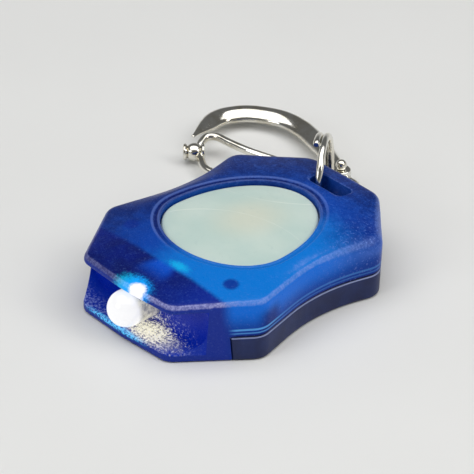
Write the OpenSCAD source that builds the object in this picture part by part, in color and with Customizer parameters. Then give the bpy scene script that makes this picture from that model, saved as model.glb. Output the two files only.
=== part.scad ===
// Keychain flashlight: a palm-size squeeze light on a split ring and a snap clip.
// The origin is the centre of the case's base face. +Z is up and the LED points towards -Y.

/* [Case] */
// Height of the case at its side edge
case_h = 8.45; // [8.3:0.05:8.6]
// Height of the joint between the two shells
joint_z = 3.4; // [3.3:0.05:3.5]
// Wall thickness of both shells
wall = 1.2; // [1.0:0.05:1.3]
// Radius of the rounded top edge
edge_r = 0.9; // [0.7:0.05:1.1]
// How far the top rises from its edge to the button's rim
crown_rise = 0.6; // [0.4:0.05:0.7]

/* [Button] */
// Half the width of the button
button_half_w = 9.9; // [9.6:0.1:10]
// Reach of the button towards the LED, from its widest line
button_front = 7.4; // [7.2:0.1:7.6]
// Reach of the button towards the key slot, from its widest line
button_rear = 13.8; // [13.4:0.1:13.8]
// How far the button goes down when squeezed
button_travel = 0.8; // [0.7:0.05:0.8]

/* [Light and cells] */
// Diameter of the LED's dome
led_d = 5; // [4.8:0.1:5]
// Diameter of each coin cell
cell_d = 20; // [19.8:0.1:20]
// Height of each coin cell
cell_h = 1.6; // [1.5:0.05:1.6]

/* [Ring and clip] */
// Outer diameter of the split ring
ring_d = 12; // [11.9:0.1:12.1]
// Diameter of the split ring's wire
ring_wire_d = 1.0; // [0.9:0.05:1.0]
// Diameter of the clip's spring wire
loop_wire_d = 1.15; // [1.0:0.05:1.2]
// Greatest width of the clip's bow
bow_w = 3.0; // [2.6:0.1:3.1]
// Greatest thickness of the clip's bow
bow_t = 2.0; // [1.7:0.1:2.1]

/* [Hidden] */
$fn = 48;

SHELL_BLUE = [0.08, 0.36, 0.86, 0.75];
NAVY = [0.07, 0.13, 0.42];
PALE_GREEN = [0.82, 0.87, 0.83];
NICKEL = [0.78, 0.77, 0.74];
COPPER = [0.80, 0.56, 0.32];
STEEL = [0.62, 0.63, 0.65];

// Corners of the case outline on its +X side, from nose to tail: x, y and corner radius.
// The first and last lie on the centre line. The base is a little fuller than the crown.
BASE_CORNERS = [
    [0, -20.5, 16], [8.3, -20.1, 2.4], [16.1, -10.3, 2.6], [12.8, 2.5, 24],
    [15.5, 11.0, 2.6], [6.8, 19.8, 3.2], [0, 19.9, 20]
];
CROWN_CORNERS = [
    [0, -20.1, 16], [8.6, -19.6, 2.4], [15.4, -9.4, 2.6], [12.7, 2.5, 24],
    [14.8, 12.4, 2.6], [6.4, 19.6, 3.2], [0, 19.75, 20]
];
CORNER_STEPS = 6;

// Nose: the mouth's back wall, its floor and roof, and the joint with the lower shell
bulkhead_front_y = -15.4;
nose_joint_y = -13.4;
bay_front_y = -11.9;
mouth_half_w = 11.4;
mouth_floor_z = 1.1;
mouth_roof_z = 7.3;
mouth_bottom_r = 3;
mouth_top_r = 0.6;

// Tail: the bay's rear wall, the slot for the ring and the bar behind it
bay_rear_y = 13.3;
slot_front_y = 14.5;
slot_rear_y = 17.2;
slot_x = 0.95;
slot_half_w = 3.2;
slot_corner_r = 0.9;
bar_bottom_z = 5.0;
notch_half_w = 7.2;

shell_gap = 0.15;
floor_z = 1.2;
roof_z = 7.3;
bottom_edge_r = 0.4;

// Button
button_y = -2.1;
button_clearance = 0.15;
rim_w = 1.15;
rim_z = case_h + crown_rise;
button_edge_z = 8.45;
button_top_z = 9.05;
button_flange_w = 0.8;
button_flange_z = 6.3;
flange_clearance = 0.05;
button_skin = 1.3;
button_bevel = 0.3;
plunger_r = 2.4;
plunger_gap = 0.05;

// Cells and contacts
cell_y = 0.2;
strip_t = 0.2;
cell_z = floor_z + strip_t;
cell_can_t = 0.25;
cell_cap_r = 8.8;
cell_cap_edge_r = 9.2;
cell_step = 0.45;
stack_top_z = cell_z + 2 * cell_h;
spacer_t = 0.1;
leaf_z = stack_top_z + spacer_t;
leaf_t = 0.15;
leaf_top_z = leaf_z + leaf_t + button_travel - plunger_gap;
leaf_w = 4.4;
leaf_arch = 6;
leaf_end = 8;
tab_y = -11.2;
pocket_clearance = 0.2;
pocket_wall = 0.8;

// LED
led_r = led_d / 2;
led_z = 4.25;
led_dome_y = -19.6;
led_base_y = -13.5;
led_flange_r = 2.9;
led_flange_t = 1.0;
lead_w = 0.5;
lead_x = 1.27;
cup_y = -16.5;
cup_r = 0.85;
cup_depth = 0.45;
die_size = [0.3, 0.2, 0.3];
bond_span = lead_x - 0.3;

// Screws
screw_x = 9.7;
screw_y = -9.3;
screw_r = 0.8;
screw_head_r = 1.5;
screw_head_z = 0.15;
screw_seat_z = 0.95;
screw_tip_z = 6.3;
screw_point_h = 0.8;
screw_slot = [1.9, 0.35, 0.3];
pilot_room = 0.5;
boss_r = 1.8;

// Split ring: it stands upright through the slot, turned about Z away from straight back
ring_yaw = 39.7;
ring_centre = [-4.55, 19.6, ring_d / 2];
ring_turns = 1.6;
ring_start = 99;
ring_pitch = ring_wire_d + 0.02;
ring_steps = 60;
ring_back = [-sin(ring_yaw), cos(ring_yaw), 0];
ring_side = [cos(ring_yaw), sin(ring_yaw), 0];

// Clip: the pivot that the bow and the spring-wire loop share
pivot = [-7.8, 26.3];
pin_r = 0.5;
eye_r = 1.35;
eye_bore_r = 0.55;
loop_eye_z = 1.1;
loop_eye_h = 0.95;
bow_eye_z = 2.1;
bow_eye_h = 0.9;
rivet_head_r = 0.85;
rivet_ball_r = 0.8;
barrel_r = 1.3;
barrel_l = 3.1;
barrel_collar = 0.75;
barrel_yaw = 46.7;
barrel_centre = [-26.5, 15.75, 1.7];
LOOP_PATH = [
    [-8.6, 25.7, 1.45], [-12.3, 23.8, 1.9], [-16.4, 22.0, 2.3], [-20.3, 20.7, 2.5],
    [-23.9, 20.2, 2.5], [-26.3, 20.0, 2.5], [-27.4, 19.0, 2.4], [-27.0, 17.4, 2.1],
    [-26.2, 16.2, 1.7], [-24.7, 15.3, 1.6], [-21.8, 14.1, 1.5], [-17.0, 15.1, 1.6],
    [-12.0, 17.7, 1.8], [-8.4, 19.9, 2.0], [-5.4, 21.2, 2.2], [-3.9, 22.6, 2.1],
    [-3.7, 24.6, 1.9], [-4.9, 26.4, 1.6], [-6.9, 26.7, 1.45]
];
BOW_PATH = [
    [-28.7, 17.5, 2.6], [-29.5, 19.5, 2.5], [-30.2, 21.5, 2.4], [-30.8, 23.7, 2.3],
    [-30.5, 25.9, 2.25], [-28.6, 28.6, 2.25], [-24.7, 30.8, 2.25], [-20.5, 31.0, 2.25],
    [-16.4, 29.9, 2.35], [-12.1, 28.2, 2.6], [-8.8, 26.9, 2.85]
];
path_steps = 4;

// ---------- Shape helpers ----------

function unit(v) = v / norm(v);
function mix(a, b, t) = a + (b - a) * t;
function turn(a, b) = a.x * b.y - a.y * b.x;

// The whole outline's corners at level t, 0 at the base and 1 at the crown
function corners(t) =
    let (side = [for (i = [0:len(BASE_CORNERS) - 1]) mix(BASE_CORNERS[i], CROWN_CORNERS[i], t)])
    concat(side, [for (i = [len(side) - 2:-1:1]) [-side[i].x, side[i].y, side[i].z]]);

// The arc that rounds corner b of a path a, b, c, moved inwards by inset
function corner_arc(a, b, c, r, inset) =
    let (
        u = unit(a - b),
        v = unit(c - b),
        half = acos(u * v) / 2,
        middle = b + unit(u + v) * r / sin(half),
        p = b + u * r / tan(half) - middle,
        q = b + v * r / tan(half) - middle,
        start = atan2(p.y, p.x),
        sweep = (atan2(q.y, q.x) - start + 540) % 360 - 180,
        radius = r - inset * sign(turn(b - a, c - b))
    )
    [for (i = [0:CORNER_STEPS]) middle + radius * dir(start + sweep * i / CORNER_STEPS)];

function dir(angle) = [cos(angle), sin(angle)];
function flat(p) = [p.x, p.y];

// The case outline at level t, moved inwards by inset
function outline(t, inset = 0) =
    let (c = corners(t), n = len(c))
    [for (k = [0:n - 1]) each
        corner_arc(flat(c[(k + n - 1) % n]), flat(c[k]), flat(c[(k + 1) % n]), c[k].z, inset)];

// The button's egg outline, grown by a margin, at a polar angle
function egg(angle, grow) =
    let (reach = (sin(angle) > 0 ? button_rear : button_front) + grow)
    [(button_half_w + grow) * cos(angle), button_y + reach * sin(angle)];
function egg_outline(grow) = [for (a = [0:5:355]) egg(a, grow)];

function at_z(points, z) = [for (p = points) [p.x, p.y, z]];

// A closed solid through rings of equal length, each capped from its middle point
module loft(rings, bottom, top) {
    n = len(rings[0]);
    last = len(rings) - 1;
    points = concat([for (ring = rings) each ring], [bottom, top]);
    faces = concat(
        [for (k = [0:last - 1], i = [0:n - 1])
            [k * n + i, (k + 1) * n + i, (k + 1) * n + (i + 1) % n]],
        [for (k = [0:last - 1], i = [0:n - 1])
            [k * n + i, (k + 1) * n + (i + 1) % n, k * n + (i + 1) % n]],
        [for (i = [0:n - 1]) [i, (i + 1) % n, len(points) - 2]],
        [for (i = [0:n - 1]) [last * n + (i + 1) % n, last * n + i, len(points) - 1]]
    );
    polyhedron(points, faces, convexity = 6);
}

// A smooth curve through points, with steps stretches between each pair
function smooth(points, steps) =
    let (n = len(points) - 1)
    concat(
        [for (i = [0:n - 1], k = [0:steps - 1])
            let (
                a = points[max(i - 1, 0)],
                b = points[i],
                c = points[i + 1],
                d = points[min(i + 2, n)],
                t = k / steps
            )
            (2 * b + (c - a) * t + (2 * a - 5 * b + 4 * c - d) * t * t
                + (3 * b - a - 3 * c + d) * t * t * t) / 2],
        [points[n]]
    );

// A section swept along a path. section(s) gives its points across and along up, s from 0 to 1.
module sweep(path, up, section) {
    n = len(path) - 1;
    rings = [for (i = [0:n])
        let (
            along = unit(path[min(i + 1, n)] - path[max(i - 1, 0)]),
            across = unit(cross(along, up)),
            rise = cross(across, along)
        )
        [for (q = section(i / n)) path[i] + across * q.x + rise * q.y]];
    loft(rings, path[0], path[n]);
}

module wire(path, up, d, sides) {
    sweep(path, up, function (s) [for (k = [0:sides - 1]) d / 2 * dir(-360 * k / sides)]);
}

// ---------- Case ----------

// The outer form of both shells together
module case_body() {
    side_rings = concat(
        [at_z(outline(0, bottom_edge_r), 0), at_z(outline(0), bottom_edge_r)],
        [for (a = [0:22.5:90])
            at_z(outline(1 - edge_r * (1 - sin(a)) / case_h, edge_r * (1 - cos(a))),
                case_h - edge_r * (1 - sin(a)))]
    );
    shoulder = outline(1, edge_r);
    land = [for (p = shoulder) egg(egg_angle(p), rim_w + button_clearance)];
    crown_rings = [for (s = [0.35, 0.7, 1])
        [for (i = [0:len(shoulder) - 1])
            let (p = mix(shoulder[i], land[i], s)) [p.x, p.y, case_h + crown_rise * sin(90 * s)]]];
    loft(concat(side_rings, crown_rings), [0, 0, 0], [0, button_y, rim_z]);
}

// The polar angle on the egg that faces an outline point
function egg_angle(p) =
    let (reach = p.y > button_y ? button_rear : button_front)
    atan2((p.y - button_y) / reach, p.x / button_half_w);

module bay(bottom, top) {
    intersection() {
        translate([0, 0, bottom]) linear_extrude(top - bottom) polygon(outline(0.5, wall));
        translate([-20, bay_front_y, bottom]) cube([40, bay_rear_y - bay_front_y, top - bottom]);
    }
}

module mouth() {
    depth = 10;
    rotate([90, 0, 0]) translate([0, 0, -bulkhead_front_y]) linear_extrude(depth) union() {
        for (side = [-1, 1]) {
            translate([side * (mouth_half_w - mouth_bottom_r), mouth_floor_z + mouth_bottom_r])
                circle(mouth_bottom_r);
            translate([side * (mouth_half_w - mouth_top_r), mouth_roof_z - mouth_top_r])
                circle(mouth_top_r);
        }
        translate([-mouth_half_w, mouth_floor_z + mouth_bottom_r])
            square([2 * mouth_half_w, mouth_roof_z - mouth_top_r - mouth_floor_z - mouth_bottom_r]);
        translate([mouth_bottom_r - mouth_half_w, mouth_floor_z])
            square([2 * (mouth_half_w - mouth_bottom_r), mouth_bottom_r + 1]);
        translate([mouth_top_r - mouth_half_w, mouth_roof_z - mouth_top_r])
            square([2 * (mouth_half_w - mouth_top_r), mouth_top_r]);
    }
}

module led_seat() {
    translate([0, bulkhead_front_y - 1, led_z]) rotate([-90, 0, 0]) cylinder(r = led_r + 0.05, h = 5);
    translate([0, led_base_y - led_flange_t, led_z]) rotate([-90, 0, 0])
        cylinder(r = led_flange_r + 0.1, h = 5);
}

module at_screws() {
    for (side = [-1, 1]) translate([side * screw_x, screw_y, 0]) children();
}

module upper_shell() color(SHELL_BLUE) difference() {
    case_body();
    translate([-20, nose_joint_y, -1]) cube([40, 40, joint_z + 1]);
    difference() {
        bay(joint_z - 1, roof_z);
        at_screws() cylinder(r = boss_r, h = case_h);
    }
    at_screws() translate([0, 0, joint_z - 1])
        cylinder(r = screw_r, h = screw_tip_z + pilot_room + 1 - joint_z);
    translate([0, 0, roof_z - 1]) linear_extrude(4) polygon(egg_outline(button_clearance));
    mouth();
    led_seat();
    key_slot();
    translate([-notch_half_w, slot_front_y, joint_z - 1])
        cube([2 * notch_half_w, 10, bar_bottom_z + 1 - joint_z]);
}

// The upright slot that the split ring passes through, with rounded corners
module key_slot() {
    translate([slot_x, (slot_front_y + slot_rear_y) / 2, joint_z - 1]) {
        half = [slot_half_w, (slot_rear_y - slot_front_y) / 2];
        core = half - [slot_corner_r, slot_corner_r];
        translate([-half.x, -core.y, 0]) cube([2 * half.x, 2 * core.y, case_h]);
        translate([-core.x, -half.y, 0]) cube([2 * core.x, 2 * half.y, case_h]);
        for (x = [-1, 1], y = [-1, 1])
            translate([x * core.x, y * core.y, 0]) cylinder(r = slot_corner_r, h = case_h);
    }
}

module lower_shell() color(NAVY) {
    top = joint_z - shell_gap;
    difference() {
        intersection() {
            case_body();
            translate([-20, nose_joint_y + shell_gap, -1]) cube([40, 40, top + 1]);
        }
        difference() {
            bay(floor_z, top + 1);
            at_screws() cylinder(r = boss_r, h = top);
            battery_pocket(top);
        }
        at_screws() {
            translate([0, 0, -1]) cylinder(r = screw_head_r + 0.15, h = screw_seat_z + 1);
            cylinder(r = screw_r + 0.1, h = top + 1);
        }
        translate([-notch_half_w, slot_front_y, -1]) cube([2 * notch_half_w, 10, joint_z + 1]);
    }
}

// The ring wall that centres the cells, open at the front for the leads
module battery_pocket(top) {
    inner_r = cell_d / 2 + pocket_clearance;
    difference() {
        translate([0, cell_y, 0]) cylinder(r = inner_r + pocket_wall, h = top);
        translate([0, cell_y, -1]) cylinder(r = inner_r, h = top + 2);
        translate([-4, bay_front_y - 1, -1]) cube([8, 8, top + 2]);
    }
}

module screw() {
    shank_top = screw_tip_z - screw_point_h;
    difference() {
        union() {
            translate([0, 0, screw_head_z]) cylinder(r = screw_head_r, h = screw_seat_z - screw_head_z);
            translate([0, 0, screw_seat_z]) cylinder(r = screw_r, h = shank_top - screw_seat_z);
            translate([0, 0, shank_top]) cylinder(r1 = screw_r, r2 = screw_r / 4, h = screw_point_h);
        }
        for (a = [0, 90]) rotate([0, 0, a])
            translate([-screw_slot.x / 2, -screw_slot.y / 2, 0])
                cube([screw_slot.x, screw_slot.y, screw_head_z + screw_slot.z]);
    }
}

module screw_left() color(STEEL) translate([-screw_x, screw_y, 0]) screw();
module screw_right() color(STEEL) translate([screw_x, screw_y, 0]) screw();

// ---------- Button and switch ----------

module push_button() color(PALE_GREEN) {
    flange_top = roof_z - flange_clearance;
    skirt_z = (button_flange_z + flange_top) / 2;
    dome = button_top_z - button_edge_z;
    ceiling_z = button_edge_z - button_skin;
    plunger_z = leaf_top_z + plunger_gap;
    difference() {
        union() {
            translate([0, 0, button_flange_z]) linear_extrude(flange_top - button_flange_z)
                polygon(egg_outline(button_flange_w));
            loft(
                concat(
                    [at_z(egg_outline(0), skirt_z), at_z(egg_outline(0), button_edge_z - button_bevel)],
                    [for (s = [0.985, 0.95, 0.75, 0.5, 0.25])
                        [for (p = egg_outline(0))
                            [p.x * s, button_y + (p.y - button_y) * s,
                                button_edge_z + dome * (1 - s * s)]]]
                ),
                [0, button_y, skirt_z], [0, button_y, button_top_z]
            );
        }
        translate([0, 0, button_flange_z - 1]) linear_extrude(ceiling_z + 1 - button_flange_z)
            polygon(egg_outline(-button_skin));
    }
    translate([0, cell_y, plunger_z]) cylinder(r = plunger_r, h = ceiling_z + button_skin / 2 - plunger_z);
}

module switch_leaf() color(COPPER) {
    rise = leaf_top_z - leaf_t - leaf_z;
    arch = [for (a = [0:15:180]) [leaf_arch * cos(a), rise * sin(a) * sin(a)]];
    front = tab_y - cell_y;
    translate([-leaf_w / 2, cell_y, leaf_z]) rotate([90, 0, 90]) linear_extrude(leaf_w)
        polygon(concat(
            [[front, 0], [front, leaf_t]],
            [for (i = [len(arch) - 1:-1:0]) arch[i] + [0, leaf_t]],
            [[leaf_end, leaf_t], [leaf_end, 0]],
            arch
        ));
}

module contact_spacer() color("khaki") translate([0, cell_y, stack_top_z]) difference() {
    cylinder(r = cell_d / 2 - 0.2, h = spacer_t);
    translate([0, 0, -1]) cylinder(r = cell_d / 4, h = spacer_t + 2);
}

module base_contact() color(COPPER) {
    tab_w = 1.2;
    translate([-leaf_w / 2, tab_y, floor_z]) cube([leaf_w, 18, strip_t]);
    translate([-lead_x - tab_w / 2, tab_y, floor_z]) cube([tab_w, strip_t, led_z + lead_w / 2 - floor_z]);
}

// ---------- Coin cells: can uppermost, cap below ----------

module cell(z) {
    translate([0, cell_y, cell_z + z]) rotate_extrude() children();
}

module cell_can(z) color(STEEL) cell(z) {
    r = cell_d / 2;
    translate([0, cell_h - cell_can_t]) square([r, cell_can_t]);
    translate([r - cell_can_t, 0.1]) square([cell_can_t, cell_h - 0.1]);
}

module cell_gasket(z) color("dimgray") cell(z) {
    outer = cell_d / 2 - cell_can_t;
    translate([cell_cap_edge_r, 0.1]) square([outer - cell_cap_edge_r, cell_h - cell_can_t - 0.1]);
}

module cell_cap(z) color(STEEL) cell(z) {
    top = cell_h - cell_can_t;
    polygon([[0, 0], [cell_cap_r, 0], [cell_cap_edge_r, cell_step], [cell_cap_edge_r, top], [0, top]]);
}

module cell_lower_can() cell_can(0);
module cell_lower_gasket() cell_gasket(0);
module cell_lower_cap() cell_cap(0);
module cell_upper_can() cell_can(cell_h);
module cell_upper_gasket() cell_gasket(cell_h);
module cell_upper_cap() cell_cap(cell_h);

// ---------- LED ----------

module led_lens() color([0.9, 0.95, 1, 0.5]) difference() {
    union() {
        translate([0, led_dome_y, led_z]) rotate([-90, 0, 0])
            cylinder(r = led_r, h = led_base_y - led_dome_y);
        translate([0, led_base_y - led_flange_t, led_z]) rotate([-90, 0, 0])
            cylinder(r = led_flange_r, h = led_flange_t);
        translate([0, led_dome_y, led_z]) sphere(r = led_r);
    }
    cathode_form();
    anode_form();
    cup_hollow();
    translate([0, cup_y - die_size.y - bond_span / 2 - 0.1, led_z - 0.1]) cube([lead_x, 0.7, 0.2]);
}

// The bowl in the cathode's head that holds the die
module cup_hollow() {
    translate([0, cup_y, led_z]) rotate([90, 0, 0]) cylinder(r1 = 0.35, r2 = 0.7, h = cup_depth);
}

module cathode_form() {
    translate([-lead_x - lead_w / 2, led_base_y - 1.8, led_z - lead_w / 2])
        cube([lead_w, tab_y - led_base_y + 1.8, lead_w]);
    translate([-lead_x - lead_w / 2, cup_y + 0.6, led_z - 0.7]) cube([lead_x + lead_w, 1.2, 1.4]);
    translate([0, cup_y + 0.8, led_z]) rotate([90, 0, 0]) cylinder(r = cup_r, h = 1.25);
}

module anode_form() {
    translate([lead_x - lead_w / 2, cup_y - 0.2, led_z - lead_w / 2])
        cube([lead_w, tab_y - cup_y + 0.2 + lead_w, lead_w]);
    translate([lead_x - lead_w / 2, tab_y, led_z - lead_w / 2])
        cube([lead_w, lead_w, leaf_z - led_z + lead_w / 2]);
}

module led_cathode() color(NICKEL) difference() {
    cathode_form();
    cup_hollow();
}
module led_anode() color(NICKEL) anode_form();
module led_die() color("gold") translate([-die_size.x / 2, cup_y - die_size.y, led_z - die_size.z / 2])
    cube(die_size);

module led_bond_wire() color("gold") {
    translate([bond_span / 2 + 0.05, cup_y - die_size.y, led_z]) rotate([0, 0, 180])
        rotate_extrude(angle = 180) translate([bond_span / 2, 0]) circle(0.04);
}

// ---------- Split ring ----------

module split_ring() color(NICKEL) {
    mean_r = (ring_d - ring_wire_d) / 2;
    path = [for (i = [0:ring_steps])
        let (s = i / ring_steps, a = ring_start - 360 * ring_turns * s)
        ring_centre + ring_back * mean_r * cos(a) + [0, 0, mean_r * sin(a)]
            + ring_side * ring_pitch * ring_turns * (s - 0.5)];
    wire(path, ring_side, ring_wire_d, 10);
}

// ---------- Clip ----------

module clip_eye(z, h) {
    translate([pivot.x, pivot.y, z]) cylinder(r = eye_r, h = h);
}

module pivot_bore() {
    translate([pivot.x, pivot.y, 0]) cylinder(r = eye_bore_r, h = 6);
}

module clip_loop() color(NICKEL) difference() {
    union() {
        wire(smooth(LOOP_PATH, path_steps), [0, 0, 1], loop_wire_d, 8);
        clip_eye(loop_eye_z, loop_eye_h);
    }
    pivot_bore();
}

// Section of the bow, rounded above and flatter below: full in the middle and slim at both ends
function bow_section(s) =
    let (
        fullness = min(1, 0.42 + 3.4 * s, 0.5 + 2 * (1 - s)),
        half = bow_w / 2 * fullness,
        seam = -0.35 * bow_t * fullness,
        top = 0.65 * bow_t * fullness,
        bottom = 0.3 * bow_t * fullness
    )
    concat(
        [for (a = [0:-30:-180]) [half * cos(a), seam + bottom * sin(a)]],
        [for (a = [150:-30:30]) [half * cos(a), seam + top * sin(a)]]
    );

module clip_bow() color(NICKEL) difference() {
    union() {
        sweep(smooth(BOW_PATH, path_steps), [0, 0, 1], function (s) bow_section(s));
        clip_eye(bow_eye_z, bow_eye_h);
    }
    pivot_bore();
}

// Collared sleeve on the loop that the bow's free end closes against
module clip_barrel() color(NICKEL) translate(barrel_centre) rotate([0, 90, barrel_yaw]) difference() {
    union() {
        cylinder(r = barrel_r - 0.2, h = barrel_l, center = true);
        for (k = [-1, 0, 1]) translate([0, 0, k * barrel_l / 3])
            cylinder(r = barrel_r, h = barrel_collar, center = true);
    }
    cylinder(r = 0.4, h = barrel_l + 1, center = true);
}

module clip_rivet() color(NICKEL) translate([pivot.x, pivot.y, 0]) {
    foot_z = loop_eye_z - 0.5;
    ball_z = bow_eye_z + bow_eye_h + 0.65;
    translate([0, 0, foot_z]) cylinder(r = rivet_head_r, h = 0.45);
    translate([0, 0, foot_z]) cylinder(r = pin_r, h = ball_z - foot_z);
    translate([0, 0, ball_z]) sphere(r = rivet_ball_r);
}

upper_shell();
lower_shell();
push_button();
switch_leaf();
contact_spacer();
base_contact();
cell_lower_can();
cell_lower_gasket();
cell_lower_cap();
cell_upper_can();
cell_upper_gasket();
cell_upper_cap();
led_lens();
led_cathode();
led_anode();
led_die();
led_bond_wire();
screw_left();
screw_right();
split_ring();
clip_loop();
clip_barrel();
clip_bow();
clip_rivet();
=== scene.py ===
import math

import bmesh
import bpy
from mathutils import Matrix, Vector


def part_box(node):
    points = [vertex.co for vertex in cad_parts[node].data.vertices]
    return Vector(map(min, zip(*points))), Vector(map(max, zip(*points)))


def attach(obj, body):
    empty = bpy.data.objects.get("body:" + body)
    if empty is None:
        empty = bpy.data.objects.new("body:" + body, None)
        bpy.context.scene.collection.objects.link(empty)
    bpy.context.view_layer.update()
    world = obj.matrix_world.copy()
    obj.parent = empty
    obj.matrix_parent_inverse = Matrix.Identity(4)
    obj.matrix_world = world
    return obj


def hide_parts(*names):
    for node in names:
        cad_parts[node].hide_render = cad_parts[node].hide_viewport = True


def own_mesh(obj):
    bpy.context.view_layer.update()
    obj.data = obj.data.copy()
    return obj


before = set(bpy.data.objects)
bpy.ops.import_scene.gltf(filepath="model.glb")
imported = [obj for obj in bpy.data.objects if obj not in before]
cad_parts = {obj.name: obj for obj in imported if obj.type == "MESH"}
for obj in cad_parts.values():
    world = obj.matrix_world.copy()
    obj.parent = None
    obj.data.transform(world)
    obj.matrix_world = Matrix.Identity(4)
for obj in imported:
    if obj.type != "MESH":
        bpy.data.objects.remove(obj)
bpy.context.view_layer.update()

# Everything is modelled in millimetres in the CAD frame and scaled to metres at the end.
MM = 0.001
TO_METRES = ((MM, 0, 0, 0), (0, MM, 0, 0), (0, 0, MM, 0), (0, 0, 0, 1))
TURN = 2 * math.pi


def box_mm(node):
    low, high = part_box(node)
    return [v / MM for v in low], [v / MM for v in high]


button_low, button_high = box_mm("push_button")
lens_low, lens_high = box_mm("led_lens")
ring_low, ring_high = box_mm("split_ring")

# ---------------------------------------------------------------- camera, light and floor

CAMERA_AZIMUTH = math.radians(47.728)
CAMERA_ELEVATION = math.radians(32.36)
CAMERA_DISTANCE = 0.4718
CAMERA_TARGET = Vector((-0.003323, 0.002797, 0.004))
CAMERA_LENS = 268.8
SENSOR_WIDTH = 36
LIGHT_TARGET = Vector((0, 0, 0.004))
FLOOR_HALF_W, FLOOR_DROP = 1.5, -0.00002


def direction(azimuth, elevation):
    """The direction from the target to something seen from this azimuth and elevation."""
    return Vector((math.sin(azimuth) * math.cos(elevation),
                   -math.cos(azimuth) * math.cos(elevation), math.sin(elevation)))


def look_at(obj, place, target):
    obj.location = place
    obj.rotation_euler = (target - place).to_track_quat("-Z", "Y").to_euler()


def link(name, data):
    obj = bpy.data.objects.new(name, data)
    bpy.context.scene.collection.objects.link(obj)
    return obj


def make_camera():
    camera = bpy.data.cameras.new("camera")
    camera.lens = CAMERA_LENS
    camera.sensor_width = SENSOR_WIDTH
    camera.clip_start = 0.01
    obj = link("camera", camera)
    look_at(obj, CAMERA_TARGET + direction(CAMERA_AZIMUTH, CAMERA_ELEVATION) * CAMERA_DISTANCE,
            CAMERA_TARGET)
    bpy.context.scene.camera = obj


def make_light(name, azimuth, elevation, distance, size, power, colour=(1, 1, 1)):
    light = bpy.data.lights.new(name, "AREA")
    light.shape = "RECTANGLE"
    light.size, light.size_y = size
    light.energy = power
    light.color = colour
    obj = link(name, light)
    place = direction(math.radians(azimuth), math.radians(elevation)) * distance
    look_at(obj, place, LIGHT_TARGET)


def make_studio():
    make_light("top_box", 47.7, 88, 0.42, (0.85, 0.46), 2.15)
    make_light("side_box", 120, 38, 0.45, (0.16, 0.22), 0.42, (1.0, 0.97, 0.93))
    make_light("front_box", -10, 30, 0.50, (0.22, 0.14), 0.36, (0.95, 0.97, 1.0))
    world = bpy.data.worlds.new("studio")
    world.use_nodes = True
    tree = world.node_tree
    tree.nodes["Background"].inputs["Color"].default_value = (0.96, 0.98, 1.0, 1)
    # A pale backdrop low down that fades into a dim room
    place = tree.nodes.new("ShaderNodeTexCoord")
    split = tree.nodes.new("ShaderNodeSeparateXYZ")
    tree.links.new(place.outputs["Generated"], split.inputs[0])
    backdrop = Value(tree, split.outputs[2]).ramp(0.42, 0.05) * 0.45 + 0.14
    plug(tree, backdrop, tree.nodes["Background"].inputs["Strength"])
    bpy.context.scene.world = world
    # The colours are given as display values
    bpy.context.scene.view_settings.view_transform = "Standard"


# ---------------------------------------------------------------- node painting

class Value:
    """A shader value that can be combined with ordinary arithmetic."""

    def __init__(self, tree, socket):
        self.tree, self.socket = tree, socket

    def math(self, operation, *others):
        node = self.tree.nodes.new("ShaderNodeMath")
        node.operation = operation
        for slot, value in enumerate((self,) + others):
            plug(self.tree, value, node.inputs[slot])
        return Value(self.tree, node.outputs[0])

    def __add__(self, other):
        return self.math("ADD", other)

    def __sub__(self, other):
        return self.math("SUBTRACT", other)

    def __mul__(self, other):
        return self.math("MULTIPLY", other)

    def ramp(self, low, high):
        """0 at low and 1 at high, with a soft step between them."""
        node = self.tree.nodes.new("ShaderNodeMapRange")
        node.interpolation_type = "SMOOTHSTEP"
        plug(self.tree, self, node.inputs["Value"])
        flip = low > high
        node.inputs["From Min"].default_value = min(low, high)
        node.inputs["From Max"].default_value = max(low, high)
        node.inputs["To Min"].default_value = 1.0 if flip else 0.0
        node.inputs["To Max"].default_value = 0.0 if flip else 1.0
        return Value(self.tree, node.outputs["Result"])

    def band(self, middle, half, soft):
        """1 within half of the middle, fading to 0 over soft."""
        return (self - middle).math("ABSOLUTE").ramp(half + soft, half)


def plug(tree, value, socket):
    if isinstance(value, Value):
        tree.links.new(value.socket, socket)
    elif isinstance(value, (tuple, list)):
        socket.default_value = tuple(value) + (1,) * (len(socket.default_value) - len(value))
    else:
        socket.default_value = value


def srgb(r, g, b):
    """A linear colour from 0-255 display values."""
    def linear(v):
        v /= 255
        return v / 12.92 if v <= 0.04045 else ((v + 0.055) / 1.055) ** 2.4
    return (linear(r), linear(g), linear(b))


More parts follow.
